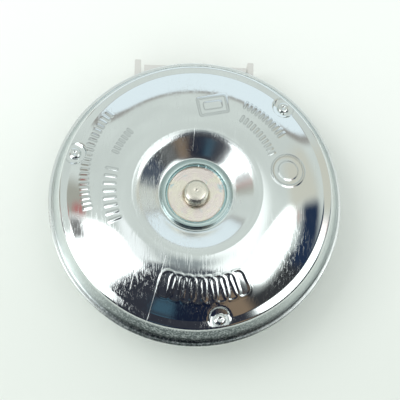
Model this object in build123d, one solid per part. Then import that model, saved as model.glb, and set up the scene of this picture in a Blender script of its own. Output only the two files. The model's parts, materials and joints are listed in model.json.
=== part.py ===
# Car horn: an electric disc horn of pressed and plated steel, lying on its front.
# Millimetres. z = 0 is the flat front face, +Z runs along the mounting stud,
# and +Y points from the horn's axis to its electrical terminals.
from build123d import *
import os
from math import asin, cos, degrees, hypot, radians, sin, sqrt, tan

os.makedirs("parts", exist_ok=True)

# Fits
running_gap = 0.1  # radial gap of a piece in its hole
seat_gap = 0.05  # gap between a winding, a tube or a body and what holds it

# Crimped rim, from its lip down
rim_radius = 49.0
rim_top = 17.0
lip_width = 1.2
lip_round = 0.35
cover_sheet = 0.7
shell_sheet = 0.9
gasket_thickness = 0.4
gasket_width = 1.8
diaphragm_sheet = 0.4

# Rear shell
crest_radius = 22.0
crest_height = 29.7
crest_round = 7.0
dish_angle = 32.0
dish_round = 12.0
dish_foot_angle = 21.0
dish_depth = 4.8
dome_fall = 5.0
ledge_fall = 0.6
ledge_round = 0.8
ledge_width = 2.7
skirt_lean = 2.7

# Neck of the shell, spun over the head of the core
neck_radius = 11.9
neck_rise = 1.1
neck_round = 0.7
neck_lip = 1.8

# Core and its mounting stud
disc_radius = 8.7
disc_recess = 1.4
ridge_width = 0.7
stud_radius = 4.0
stud_length = 4.4
stud_tip_radius = 2.8
stud_tip_length = 0.9
centre_drill_radius = 0.4
pole_radius = 7.5

# Rivets at the shell's crease: direction of each from the horn's axis
rivet_angles = (47.3, 162.3, 281.7)
pad_radius = 3.5
pad_sink = 0.5
rivet_head_radius = 2.0
rivet_head_height = 0.9
rivet_dimple_radius = 0.8
rivet_dome = 0.3
rivet_shank_radius = 1.2

# Carrier plate
plate_thickness = 1.5
lug_reach = 6.3
lug_width = 8.0
lug_end_gap = 1.1
joggle_run = 2.0

# Coil
breaker_room = 2.6
bobbin_wall = 0.9
bobbin_bottom = 12.4
bobbin_flange = 1.2

# Diaphragm, armature and resonator
diaphragm_floor = 9.2
diaphragm_flat_margin = 2.0
diaphragm_margin = 12.5
bead_offset = 0.5
bead_height = 0.6
armature_entry = 0.4
armature_gap = 0.8
armature_flange_radius = 11.0
armature_flange = 1.4
spigot_radius = 3.0
washer_radius = 9.0
washer_thickness = 1.0
spacer_radius = 5.0
spacer_length = 2.2
resonator_sheet = 0.8
resonator_room = 3.6
resonator_drop = 1.4
resonator_step_radius = 12.0
nut_flats = 9.0
nut_height = 1.8
nut_protrusion = 0.4

# Contact breaker, on the -X side of the coil
breaker_margin = 1.8
breaker_pile = 6.2
breaker_length = 9.6
breaker_rivet_inset = 3.2
contact_inset = 1.4
breaker_width = 10.0
breaker_rivet_radius = 1.1
breaker_rivet_spread = 5.6
breaker_rivet_head = 0.8
insulator_thickness = 1.0
contact_strip = 0.8
clamp_thickness = 0.6
spring_leaf = 0.4
spring_width = 5.0
spring_drop_gap = 1.2
spring_reach = 9.0
contact_radius = 1.3

# Spark resistor, beside the breaker
resistor_outset = 5.5
resistor_start = 9.0
resistor_length = 12.0
resistor_radius = 1.9
resistor_lead_radius = 0.35

# Lead wires
wire_radius = 0.5
wire_bend = 2.0

# Front cover
centre_pad_radius = 10.0
annulus_height = 1.6
rest_ring_width = 7.6
shoulder_reach = 6.8
cover_corner = 3.0
cover_bend = 0.6
cover_wall_lean = 1.6
slot_count = 20
slot_width = 2.4
slot_inner = 15.0
slot_margin = 4.6

# Terminal block in the cover's pocket
block_offset = -1.2
pocket_half_width = 21.2
pocket_depth = 11.5
pocket_corner = 1.0
block_gap = 0.3
block_bottom = 1.5
lid_half_width = 17.65
lid_shift = 0.4
lid_overhang = 0.1
lid_thickness = 1.4
shroud_wall = 1.5
socket_depth = 10.2
guard_inner = 18.35
guard_outer = 20.55
guard_overhang = 2.2
guard_web = 3.5
guard_drop = 0.6
guard_round = 0.4
tab_width = 6.3
tab_thickness = 0.8
tab_spread = 14.0
tab_setback = 0.3
tab_height = 7.1
tab_back_gap = 0.4
tail_setback = 4.1
terminal_rivet_setback = 6.5
terminal_rivet_radius = 1.0
terminal_rivet_head = 2.0
terminal_head_height = 0.8
terminal_boss_radius = 1.8
insulating_washer_radius = 2.8
insulating_washer_thickness = 0.8

# Levels worked out from the sizes above
flange_top = rim_top - cover_sheet
flange_bottom = flange_top - shell_sheet
diaphragm_top = flange_bottom - gasket_thickness
diaphragm_bottom = diaphragm_top - diaphragm_sheet
shoulder_top = diaphragm_bottom - gasket_thickness
shoulder_bottom = shoulder_top - cover_sheet
rim_inner = rim_radius - cover_sheet
flange_radius = rim_inner - running_gap
foot_radius = rim_radius - lip_width - running_gap
ledge_radius = foot_radius - skirt_lean
crease_radius = ledge_radius - ledge_width
plate_radius = crease_radius - lug_reach
diaphragm_rise_radius = rim_radius - diaphragm_margin
cover_foot_radius = rim_radius - shoulder_reach
cover_wall_top_radius = cover_foot_radius + cover_wall_lean
rest_ring_inner = cover_foot_radius - rest_ring_width
slot_outer = rest_ring_inner - slot_margin
resonator_radius = rest_ring_inner - resonator_room
pocket_wall = rim_radius - pocket_depth
lid_edge = rim_radius + lid_overhang
guard_edge = rim_radius + guard_overhang
tab_end = lid_edge - tab_setback
tail_end = lid_edge - tail_setback
terminal_rivet_y = lid_edge - terminal_rivet_setback
dish_floor = crest_height - dish_depth
crease_height = crest_height - dome_fall
ledge_height = crease_height - ledge_fall
neck_top = dish_floor + neck_rise
pad_height = crease_height - pad_sink
plate_top = dish_floor - shell_sheet
plate_bottom = plate_top - plate_thickness
lip_bottom = neck_top - shell_sheet
disc_height = neck_top - disc_recess
neck_bore = neck_radius - shell_sheet
head_radius = neck_bore - running_gap
lug_top = pad_height - shell_sheet
lug_bottom = lug_top - plate_thickness
lug_radius = ledge_radius - lug_end_gap
armature_top = bobbin_bottom + armature_entry
pole_face = armature_top + armature_gap
diaphragm_centre_top = diaphragm_floor + diaphragm_sheet
armature_flange_top = diaphragm_centre_top + armature_flange
bobbin_bore = pole_radius + 2 * running_gap
boss_hole = terminal_boss_radius + running_gap
rivet_hole = terminal_rivet_radius + seat_gap
terminal_x = (block_offset - tab_spread / 2, block_offset + tab_spread / 2)
washer_bottom = diaphragm_floor - washer_thickness
resonator_top = washer_bottom - spacer_length
nut_top = resonator_top - resonator_sheet
spigot_end = nut_top - nut_height - nut_protrusion
pile_back = breaker_margin - plate_radius
pile_middle = pile_back + breaker_pile
pile_front = pile_back + breaker_length
breaker_rivet_x = pile_back + breaker_rivet_inset
contact_x = pile_front - contact_inset
bobbin_radius = -pile_front - breaker_room
coil_radius = bobbin_radius - bobbin_flange
diaphragm_flat_radius = bobbin_radius + diaphragm_flat_margin
bead_radius = (armature_flange_radius + diaphragm_flat_radius) / 2 + bead_offset
resistor_x = -bobbin_radius - resistor_outset
strip_top = plate_bottom - insulator_thickness
strip_bottom = strip_top - contact_strip
spring_top = strip_bottom - insulator_thickness
clamp_bottom = spring_top - spring_leaf - clamp_thickness
lid_bottom = shoulder_bottom - lid_thickness
tab_back = lid_edge - socket_depth + tab_back_gap
washer_top = diaphragm_top + insulating_washer_thickness
terminal_head_top = washer_top + terminal_head_height
terminal_wire_level = washer_top + wire_radius + seat_gap


def closest_corner(shape, x, y):
    return min(shape.vertices(), key=lambda corner: hypot(corner.X - x, corner.Y - y))


def turned(section):
    # a section drawn as (radius, height), turned round the horn's axis
    return revolve(Plane.XZ * section, Axis.Z, 360)


def polygon(*points):
    return make_face(Polyline(*points, close=True))


def sheet_section(thickness, *points):
    # a pressed sheet, from the points of its lower face
    upper = [(radius, height + thickness) for radius, height in reversed(points)]
    return polygon(*points, *upper)


def upright(radius, bottom, top, x=0, y=0):
    cylinder = Cylinder(radius, top - bottom, align=(Align.CENTER, Align.CENTER, Align.MIN))
    return Pos(x, y, bottom) * cylinder


def at_terminals(radius, bottom, top):
    return [upright(radius, bottom, top, x, terminal_rivet_y) for x in terminal_x]


def washer(inner, outer, bottom, top, x=0, y=0):
    return upright(outer, bottom, top, x, y) - upright(inner, bottom, top, x, y)


def block(x_range, y_range, z_range):
    size = [high - low for low, high in (x_range, y_range, z_range)]
    corner = (x_range[0], y_range[0], z_range[0])
    return Pos(*corner) * Box(*size, align=(Align.MIN, Align.MIN, Align.MIN))


def about(middle, half):
    return middle - half, middle + half


def on_circle(radius, angle):
    return radius * cos(radians(angle)), radius * sin(radians(angle))


def bent_wire(radius, bend, *points):
    path = FilletPolyline(*points, radius=bend)
    start = Plane(origin=path @ 0, z_dir=path % 0)
    return sweep(start * Circle(radius), path=path)


def shell_outline(low):
    # everything under the shell's outer face: dish, crest, dome, ledge and skirt
    turn, foot_turn = radians(dish_angle), radians(dish_foot_angle)
    crest_side = (crest_radius - crest_round * sin(turn), crest_height - crest_round * (1 - cos(turn)))
    side_height = dish_floor + dish_round * (cos(foot_turn) - cos(turn))
    dish_side = (crest_side[0] - (crest_side[1] - side_height) / tan(turn), side_height)
    dish_centre = (dish_side[0] - dish_round * sin(turn), side_height + dish_round * cos(turn))
    dish_start = (dish_centre[0] + dish_round * sin(foot_turn), dish_floor)
    fall = crest_height - crease_height
    run = crease_radius - crest_radius
    dome_round = (run**2 + fall**2) / (2 * fall)
    dome_angle = degrees(asin(run / dome_round))
    crease = (crease_radius, crease_height)
    ledge = (ledge_radius, ledge_height)
    outline = make_face(
        [
            Line((0, dish_floor), dish_start),
            CenterArc(dish_centre, dish_round, dish_foot_angle - 90, dish_angle - dish_foot_angle),
            Line(dish_side, crest_side),
            CenterArc((crest_radius, crest_height - crest_round), crest_round, 90, dish_angle),
            CenterArc((crest_radius, crest_height - dome_round), dome_round, 90 - dome_angle, dome_angle),
            Line(crease, ledge),
            Line(ledge, (foot_radius, flange_top)),
            Line((foot_radius, flange_top), (foot_radius, low)),
            Line((foot_radius, low), (0, low)),
            Line((0, low), (0, dish_floor)),
        ]
    )
    return fillet(closest_corner(outline, *ledge), ledge_round)


def shell_neck():
    # the drawn neck, its edge spun inwards over the core's head
    wall = polygon(
        (neck_bore, plate_top),
        (neck_radius, plate_top),
        (neck_radius, neck_top),
        (neck_radius - neck_lip, neck_top),
        (neck_radius - neck_lip, lip_bottom),
        (neck_bore, lip_bottom),
    )
    return fillet(closest_corner(wall, neck_radius, neck_top), neck_round)


def rear_shell():
    below = flange_bottom - 2 * shell_sheet
    outline = shell_outline(below)
    sheet = outline - offset(outline, -shell_sheet)
    sheet -= Pos(foot_radius / 2, 0) * Rectangle(foot_radius * 2, 2 * flange_bottom)
    sheet -= Rectangle(2 * neck_bore, 2 * crest_height)
    flange_inner = foot_radius - shell_sheet
    flange = polygon(
        (flange_inner, flange_bottom),
        (flange_radius, flange_bottom),
        (flange_radius, flange_top),
        (flange_inner, flange_top),
    )
    shell = turned(sheet + flange + shell_neck())
    under_surface = turned(outline)
    for angle in rivet_angles:
        x, y = on_circle(crease_radius, angle)
        cup = upright(pad_radius + shell_sheet, lug_top, crest_height, x, y) & under_surface
        shell += cup
        shell -= upright(pad_radius, pad_height, crest_height, x, y)
        shell -= upright(rivet_shank_radius + seat_gap, lug_top, crest_height, x, y)
    return shell


def core():
    ridge_radius = disc_radius + ridge_width
    stud_end = disc_height + stud_length
    section = polygon(
        (0, pole_face),
        (pole_radius, pole_face),
        (pole_radius, plate_top),
        (head_radius, plate_top),
        (head_radius, lip_bottom),
        (ridge_radius, lip_bottom),
        (disc_radius, disc_height),
        (stud_radius, disc_height),
        (stud_radius, stud_end - stud_tip_length),
        (stud_tip_radius, stud_end),
        (centre_drill_radius, stud_end),
        (0, stud_end - 2 * centre_drill_radius),
    )
    return turned(section)


def shell_rivets():
    # domed heads, dimpled by the tool, with a formed head under each lug
    head_top = pad_height + rivet_head_height
    lower_head = lug_bottom - rivet_head_height
    section = make_face(
        [
            Line((0, lower_head), (rivet_head_radius, lower_head)),
            Line((rivet_head_radius, lower_head), (rivet_head_radius, lug_bottom)),
            Line((rivet_head_radius, lug_bottom), (rivet_shank_radius, lug_bottom)),
            Line((rivet_shank_radius, lug_bottom), (rivet_shank_radius, pad_height)),
            Line((rivet_shank_radius, pad_height), (rivet_head_radius, pad_height)),
            SagittaArc(
                (rivet_head_radius, pad_height), (rivet_dimple_radius, head_top), -rivet_dome
            ),
            Line((rivet_dimple_radius, head_top), (0, head_top - rivet_dimple_radius / 2)),
            Line((0, head_top - rivet_dimple_radius / 2), (0, lower_head)),
        ]
    )
    rivet = turned(section)
    return [Pos(*on_circle(crease_radius, angle), 0) * rivet for angle in rivet_angles]


def carrier_plate():
    # a flat disc round the core, with a joggled lug to each rivet of the shell
    plate = washer(pole_radius + running_gap, plate_radius, plate_bottom, plate_top)
    joggle_start = plate_radius + plate_thickness / 4
    joggle_end = joggle_start + joggle_run
    bend_shift = (lug_bottom - plate_bottom) / 4
    lug = polygon(
        (plate_radius - plate_thickness, plate_bottom),
        (joggle_start + bend_shift, plate_bottom),
        (joggle_end + bend_shift, lug_bottom),
        (ledge_radius, lug_bottom),
        (ledge_radius, lug_top),
        (joggle_end - bend_shift, lug_top),
        (joggle_start - bend_shift, plate_top),
        (plate_radius - plate_thickness, plate_top),
    )
    arm = extrude(Plane.XZ * lug, lug_width / 2, both=True) & upright(lug_radius, plate_bottom, lug_top)
    arm -= upright(rivet_shank_radius + seat_gap, plate_bottom, lug_top, crease_radius)
    for angle in rivet_angles:
        plate += Rot(0, 0, angle) * arm
    for y in about(0, breaker_rivet_spread / 2):
        plate -= upright(breaker_rivet_radius + seat_gap, plate_bottom, plate_top, breaker_rivet_x, y)
    return plate


def bobbin():
    tube = washer(bobbin_bore, bobbin_bore + bobbin_wall, bobbin_bottom, plate_bottom)
    lower = washer(bobbin_bore, bobbin_radius, bobbin_bottom, bobbin_bottom + bobbin_wall)
    upper = washer(bobbin_bore, bobbin_radius, plate_bottom - bobbin_wall, plate_bottom)
    return tube + lower + upper


def coil():
    inner = bobbin_bore + bobbin_wall + seat_gap
    bottom = bobbin_bottom + bobbin_wall + seat_gap
    top = plate_bottom - bobbin_wall - seat_gap
    return washer(inner, coil_radius, bottom, top)


def diaphragm():
    bead_slope = bead_height
    sheet = sheet_section(
        diaphragm_sheet,
        (spigot_radius + seat_gap, diaphragm_floor),
        (bead_radius - 2 * bead_slope, diaphragm_floor),
        (bead_radius - bead_slope, diaphragm_floor + bead_height),
        (bead_radius + bead_slope, diaphragm_floor + bead_height),
        (bead_radius + 2 * bead_slope, diaphragm_floor),
        (diaphragm_flat_radius, diaphragm_floor),
        (diaphragm_rise_radius, diaphragm_bottom),
        (flange_radius, diaphragm_bottom),
    )
    return turned(sheet) - at_terminals(boss_hole, diaphragm_bottom, diaphragm_top)


def armature():
    body_radius = bobbin_bore - 3 * running_gap
    section = polygon(
        (0, spigot_end),
        (spigot_radius, spigot_end),
        (spigot_radius, diaphragm_centre_top),
        (armature_flange_radius, diaphragm_centre_top),
        (armature_flange_radius, armature_flange_top),
        (body_radius, armature_flange_top),
        (body_radius, armature_top),
        (0, armature_top),
    )
    return turned(section)


def resonator():
    lower = resonator_top - resonator_sheet
    dropped = lower - resonator_drop
    step_end = resonator_step_radius + 1.5 * resonator_drop
    edge_start = resonator_radius - 1.5 * resonator_drop
    sheet = sheet_section(
        resonator_sheet,
        (spigot_radius + seat_gap, lower),
        (resonator_step_radius, lower),
        (step_end, dropped),
        (edge_start, dropped),
        (resonator_radius, lower),
    )
    return turned(sheet)


def resonator_nut():
    hexagon = RegularPolygon(nut_flats / 2, 6, major_radius=False)
    nut = extrude(hexagon - Circle(spigot_radius + seat_gap), nut_height)
    return Pos(0, 0, nut_top - nut_height) * nut


def drilled(leaf, bottom, top):
    for y in about(0, breaker_rivet_spread / 2):
        leaf -= upright(breaker_rivet_radius + seat_gap, bottom, top, breaker_rivet_x, y)
    return leaf


def breaker_spring():
    drop_x = -(bobbin_radius + spring_drop_gap)
    tongue_top = armature_flange_top + block_gap + spring_leaf
    section = polygon(
        (pile_back, spring_top),
        (pile_back, spring_top - spring_leaf),
        (drop_x - spring_leaf, spring_top - spring_leaf),
        (drop_x - spring_leaf, tongue_top - spring_leaf),
        (-spring_reach, tongue_top - spring_leaf),
        (-spring_reach, tongue_top),
        (drop_x, tongue_top),
        (drop_x, spring_top),
    )
    leaf = extrude(Plane.XZ * section, breaker_width / 2, both=True)
    narrow = block((pile_front, 0), about(0, breaker_width), (0, crest_height))
    narrow -= block((pile_front, 0), about(0, spring_width / 2), (0, crest_height))
    return drilled(leaf - narrow, spring_top - spring_leaf, spring_top)


def contacts():
    # the two silver buttons that meet between the strip and the spring
    middle = (strip_bottom + spring_top) / 2
    lower = upright(contact_radius, spring_top, middle, contact_x)
    upper = upright(contact_radius, middle, strip_bottom, contact_x)
    return lower, upper


def breaker_rivets():
    rivets = []
    for y in about(0, breaker_rivet_spread / 2):
        rivet = upright(breaker_rivet_radius, clamp_bottom, plate_top, breaker_rivet_x, y)
        head = breaker_rivet_radius + breaker_rivet_head / 2
        rivet += upright(head, plate_top, plate_top + breaker_rivet_head, breaker_rivet_x, y)
        rivet += upright(head, clamp_bottom - breaker_rivet_head, clamp_bottom, breaker_rivet_x, y)
        rivets.append(rivet)
    return rivets


def resistor():
    # a ceramic rod with a wire to the plate and a wire to the fixed strip
    level = plate_bottom - resistor_radius - running_gap
    far_end = -(resistor_start + resistor_length)
    rod = Pos(resistor_x, far_end, level) * Rot(-90, 0, 0) * upright(resistor_radius, 0, resistor_length)
    return fillet(rod.edges().filter_by(GeomType.CIRCLE), resistor_radius / 4)


def resistor_leads():
    level = plate_bottom - resistor_radius - running_gap
    far_end = -(resistor_start + resistor_length)
    outboard = far_end - resistor_radius
    strip_side = -breaker_width / 2
    strip_middle = strip_top - contact_strip / 2
    slack = (resistor_start + strip_side) / 3
    earthed = bent_wire(
        resistor_lead_radius,
        resistor_lead_radius * 2,
        (resistor_x, far_end, level),
        (resistor_x, outboard, level),
        (resistor_x, outboard, plate_bottom),
    )
    live = bent_wire(
        resistor_lead_radius,
        resistor_lead_radius,
        (resistor_x, -resistor_start, level),
        (resistor_x, -resistor_start + slack, level),
        (resistor_x, strip_side - slack, strip_middle),
        (resistor_x, strip_side, strip_middle),
    )
    return earthed, live


def coil_supply_lead():
    x = terminal_x[1]
    level = terminal_wire_level
    start = terminal_rivet_y - terminal_rivet_head
    landing = sqrt(coil_radius**2 - (abs(x) - wire_radius) ** 2)
    third = (start - landing) / 3
    return bent_wire(
        wire_radius,
        wire_bend,
        (x, start, level),
        (x, start - wire_bend, level),
        (x, start - third, level + wire_bend),
        (x, landing + third, level + wire_bend),
        (x, landing + wire_bend, level),
        (x, landing, level),
    )


def breaker_supply_lead():
    level = terminal_wire_level
    strip_middle = strip_top - contact_strip / 2
    start_x = terminal_x[0] - terminal_rivet_head
    land_x = breaker_rivet_x + wire_bend
    return bent_wire(
        wire_radius,
        wire_bend,
        (start_x, terminal_rivet_y, level),
        (start_x - 2 * wire_bend, terminal_rivet_y, level),
        (land_x + 2 * wire_bend, coil_radius + 2 * wire_bend, strip_middle),
        (land_x, coil_radius - 2 * wire_bend, strip_middle),
        (land_x, breaker_width / 2, strip_middle),
    )


def coil_breaker_lead():
    spring_middle = spring_top - spring_leaf / 2
    start_y = breaker_width
    start_x = -sqrt(coil_radius**2 - start_y**2)
    return bent_wire(
        spring_leaf / 2,
        wire_bend / 2,
        (start_x, start_y, spring_middle),
        (pile_front - wire_bend / 2, start_y, spring_middle),
        (pile_front - wire_bend / 2, breaker_width / 2, spring_middle),
    )


def front_cover():
    # pressed front: raised centre pad, slotted annulus, rest ring, wall and crimped rim
    above = rim_top + cover_sheet
    outline = polygon(
        (-cover_sheet, 0),
        (centre_pad_radius, 0),
        (centre_pad_radius + annulus_height, annulus_height),
        (rest_ring_inner - annulus_height, annulus_height),
        (rest_ring_inner, 0),
        (cover_foot_radius, 0),
        (cover_wall_top_radius, shoulder_bottom),
        (rim_radius, shoulder_bottom),
        (rim_radius, above),
        (-cover_sheet, above),
    )
    outline = fillet(closest_corner(outline, cover_foot_radius, 0), cover_corner)
    outline = fillet(closest_corner(outline, rim_radius, shoulder_bottom), cover_bend)
    hollow = offset(outline, -cover_sheet)
    outline -= Pos(-cover_sheet, 0) * Rectangle(2 * cover_sheet, 4 * above)
    hollow -= Pos(-cover_sheet, 0) * Rectangle(2 * cover_sheet, 4 * above)
    cover = turned(outline) - pocket(0)
    cover -= turned(hollow) - pocket(cover_sheet)
    cover -= upright(2 * rim_radius, rim_top, above)
    lip = washer(rim_radius - lip_width, rim_radius, flange_top, rim_top)
    cover += lip
    rim_edges = cover.edges().filter_by(GeomType.CIRCLE).group_by(Axis.Z)[-1]
    cover = fillet(rim_edges, lip_round)
    slot_length = slot_outer - slot_inner
    slot = Pos((slot_inner + slot_outer) / 2, 0) * SlotOverall(slot_length, slot_width)
    slots = Sketch() + [Rot(0, 0, step * 360 / slot_count) * slot for step in range(slot_count)]
    cover -= extrude(slots, annulus_height + 2 * cover_sheet)
    return cover - at_terminals(boss_hole, shoulder_bottom, shoulder_top)


def pocket(grown):
    # the space cut out of the cover for the terminal block, grown by a wall
    half_width = pocket_half_width + grown
    space = block(
        about(block_offset, half_width),
        (pocket_wall - grown, 2 * rim_radius),
        (-rim_top, shoulder_bottom + grown),
    )
    corners = space.edges().filter_by(Axis.Z).group_by(Axis.Y)[0]
    return fillet(corners, pocket_corner + grown)


def terminal_block():
    # lidded socket between two guard walls, and a boss round each rivet
    inner_edge = pocket_wall + block_gap
    guard_top = shoulder_bottom - guard_drop
    guard_sides = about(block_offset, guard_outer)
    thickness = guard_outer - guard_inner
    lid_middle = block_offset + lid_shift
    body = block(about(lid_middle, lid_half_width), (inner_edge, lid_edge), (block_bottom, shoulder_bottom))
    body += block(guard_sides, (inner_edge, inner_edge + guard_web), (block_bottom, guard_top))
    body -= block(
        about(lid_middle, lid_half_width - shroud_wall),
        (lid_edge - socket_depth, 2 * lid_edge),
        (block_bottom + shroud_wall, lid_bottom),
    )
    for side in (guard_sides[0], guard_sides[1] - thickness):
        guard = block((side, side + thickness), (inner_edge, guard_edge), (block_bottom, guard_top))
        tip = guard.edges().filter_by(Axis.Z).group_by(Axis.Y)[-1]
        body += fillet(tip, guard_round)
    body += at_terminals(terminal_boss_radius, shoulder_bottom, diaphragm_top)
    return body - at_terminals(rivet_hole, lid_bottom, diaphragm_top)


def terminal_tab(x):
    # a strip folded back on itself: tail under the lid, blade in the socket
    blade_top = tab_height + tab_thickness
    section = polygon(
        (tab_back, tab_height),
        (tab_end, tab_height),
        (tab_end, blade_top),
        (tab_back + tab_thickness, blade_top),
        (tab_back + tab_thickness, lid_bottom - tab_thickness),
        (tail_end, lid_bottom - tab_thickness),
        (tail_end, lid_bottom),
        (tab_back, lid_bottom),
    )
    strip = extrude(Plane.YZ * section, tab_width / 2, both=True)
    tip_corners = strip.edges().filter_by(Axis.Z).group_by(Axis.Y)[-1]
    strip = chamfer(tip_corners, tab_thickness)
    return Pos(x, 0, 0) * strip - at_terminals(rivet_hole, lid_bottom - tab_thickness, lid_bottom)


def terminal_rivets():
    rivets = []
    tail_bottom = lid_bottom - tab_thickness
    for x in terminal_x:
        rivet = upright(terminal_rivet_radius, tail_bottom, washer_top, x, terminal_rivet_y)
        lower = (tail_bottom - terminal_head_height, tail_bottom)
        rivet += upright(terminal_rivet_head, *lower, x, terminal_rivet_y)
        rivet += upright(terminal_rivet_head, washer_top, terminal_head_top, x, terminal_rivet_y)
        rivets.append(rivet)
    return rivets


def washer_pair(inner, bottom, top):
    outer = insulating_washer_radius
    return [washer(inner, outer, bottom, top, x, terminal_rivet_y) for x in terminal_x]


def pile_leaf(front, top, thickness):
    # one flat leaf of the breaker's pile
    leaf = block((pile_back, front), about(0, breaker_width / 2), (top - thickness, top))
    return drilled(leaf, top - thickness, top)


def resonator_stack(outer, bottom, top):
    return washer(spigot_radius + seat_gap, outer, bottom, top)


def gasket(bottom):
    return washer(flange_radius - gasket_width, flange_radius, bottom, bottom + gasket_thickness)


moving_button, fixed_button = contacts()

pieces = {
    "rear_shell": rear_shell(),
    "core_stud": core(),
    "shell_rivets": shell_rivets(),
    "carrier_plate": carrier_plate(),
    "bobbin": bobbin(),
    "coil": coil(),
    "breaker_upper_insulator": pile_leaf(pile_middle, plate_bottom, insulator_thickness),
    "fixed_contact_strip": pile_leaf(pile_front, strip_top, contact_strip),
    "breaker_lower_insulator": pile_leaf(pile_middle, strip_bottom, insulator_thickness),
    "breaker_spring": breaker_spring(),
    "breaker_clamp": pile_leaf(pile_middle, spring_top - spring_leaf, clamp_thickness),
    "breaker_rivets": breaker_rivets(),
    "fixed_contact": fixed_button,
    "moving_contact": moving_button,
    "spark_resistor": resistor(),
    "resistor_leads": resistor_leads(),
    "coil_supply_lead": coil_supply_lead(),
    "breaker_supply_lead": breaker_supply_lead(),
    "coil_breaker_lead": coil_breaker_lead(),
    "rear_gasket": gasket(diaphragm_top),
    "diaphragm": diaphragm(),
    "front_gasket": gasket(shoulder_top),
    "armature": armature(),
    "diaphragm_washer": resonator_stack(washer_radius, washer_bottom, diaphragm_floor),
    "resonator_spacer": resonator_stack(spacer_radius, resonator_top, washer_bottom),
    "resonator_disc": resonator(),
    "resonator_nut": resonator_nut(),
    "front_cover": front_cover(),
    "terminal_block": terminal_block(),
    "left_terminal": terminal_tab(terminal_x[0]),
    "right_terminal": terminal_tab(terminal_x[1]),
    "terminal_rivets": terminal_rivets(),
    "spacer_washers": washer_pair(boss_hole, shoulder_top, diaphragm_bottom),
    "insulating_washers": washer_pair(rivet_hole, diaphragm_top, washer_top),
}

for name, shape in pieces.items():
    whole = Compound(children=list(shape)) if isinstance(shape, (list, tuple)) else shape
    export_step(whole, f"parts/{name}.step")
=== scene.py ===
import json
from math import asin, atan2, cos, degrees, hypot, pi, radians, sin, tan

import bmesh
import bpy
import numpy as np
from mathutils import Matrix, Vector


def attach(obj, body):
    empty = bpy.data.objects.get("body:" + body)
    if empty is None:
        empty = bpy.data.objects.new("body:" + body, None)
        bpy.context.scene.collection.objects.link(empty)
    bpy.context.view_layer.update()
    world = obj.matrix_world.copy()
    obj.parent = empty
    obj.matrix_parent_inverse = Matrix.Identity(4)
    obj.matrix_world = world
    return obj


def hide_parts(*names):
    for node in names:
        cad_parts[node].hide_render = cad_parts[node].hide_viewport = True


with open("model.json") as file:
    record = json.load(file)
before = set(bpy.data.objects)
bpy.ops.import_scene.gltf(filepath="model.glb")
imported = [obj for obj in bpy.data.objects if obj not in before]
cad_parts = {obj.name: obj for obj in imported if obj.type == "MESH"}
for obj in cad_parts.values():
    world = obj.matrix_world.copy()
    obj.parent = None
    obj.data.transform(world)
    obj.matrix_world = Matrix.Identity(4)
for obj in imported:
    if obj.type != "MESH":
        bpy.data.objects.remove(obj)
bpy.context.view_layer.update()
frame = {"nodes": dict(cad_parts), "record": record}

millimetre = 0.001
scene = bpy.context.scene
print("frame loaded:", len(frame["nodes"]), "nodes")


# Mesh helpers

def meshPiece(name, points, faces):
    mesh = bpy.data.meshes.new(name)
    mesh.from_pydata([tuple(p) for p in points], [], faces)
    mesh.validate()
    mesh.update()
    mesh.shade_smooth()
    piece = bpy.data.objects.new(name, mesh)
    scene.collection.objects.link(piece)
    return piece


def arcPoints(centre, radius, start, end, steps):
    turns = np.radians(np.linspace(start, end, steps + 1))
    return [(centre[0] + radius * cos(t), centre[1] + radius * sin(t)) for t in turns]


def linePoints(start, end, steps):
    return [(start[0] + (end[0] - start[0]) * k / steps, start[1] + (end[1] - start[1]) * k / steps)
            for k in range(steps + 1)]


def chained(*runs):
    chain = []
    for run in runs:
        for point in run:
            if not chain or hypot(point[0] - chain[-1][0], point[1] - chain[-1][1]) > 1e-6:
                chain.append(point)
    return chain


def ringFaces(rows, columns):
    # quads between neighbouring rings, the last ring joined to the first
    faces = []
    for row in range(rows):
        following = (row + 1) % rows
        for column in range(columns):
            right = (column + 1) % columns
            faces.append((row * columns + column, row * columns + right,
                          following * columns + right, following * columns + column))
    return faces


def lathed(name, outline, columns):
    # outline of (radius, height), run so that the material lies on its right hand; radius 0 closes a pole
    points, faces, rings = [], [], []
    for radius, height in outline:
        start = len(points)
        if radius < 1e-6:
            points.append((0, 0, height * millimetre))
            rings.append([start] * columns)
            continue
        for column in range(columns):
            turn = 2 * pi * column / columns
            points.append((radius * cos(turn) * millimetre, radius * sin(turn) * millimetre, height * millimetre))
        rings.append([start + column for column in range(columns)])
    for lower, upper in zip(rings, rings[1:]):
        for column in range(columns):
            right = (column + 1) % columns
            corners = [lower[column], lower[right], upper[right], upper[column]]
            kept = list(dict.fromkeys(corners))
            if len(kept) > 2:
                faces.append(kept)
    return meshPiece(name, points, faces)


def facedOutwards(piece):
    work = bmesh.new()
    work.from_mesh(piece.data)
    bmesh.ops.remove_doubles(work, verts=work.verts, dist=1e-7)
    bmesh.ops.recalc_face_normals(work, faces=work.faces)
    work.to_mesh(piece.data)
    work.free()
    return piece


# Shader helpers

def addNode(tree, kind, inputs=None, **settings):
    made = tree.nodes.new(kind)
    for key, value in settings.items():
        setattr(made, key, value)
    for key, value in (inputs or {}).items():
        if isinstance(value, bpy.types.NodeSocket):
            tree.links.new(value, made.inputs[key])
        else:
            made.inputs[key].default_value = value
    return made


def calc(tree, operation, *values):
    return addNode(tree, "ShaderNodeMath", dict(enumerate(values)), operation=operation).outputs[0]


def ramped(tree, value, start, end, low=0.0, high=1.0):
    inputs = {"Value": value, "From Min": start, "From Max": end, "To Min": low, "To Max": high}
    return addNode(tree, "ShaderNodeMapRange", inputs, interpolation_type="SMOOTHSTEP").outputs[0]


def mixed(tree, factor, first, second):
    return addNode(tree, "ShaderNodeMix", {0: factor, 6: first, 7: second}, data_type="RGBA").outputs[2]


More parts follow.
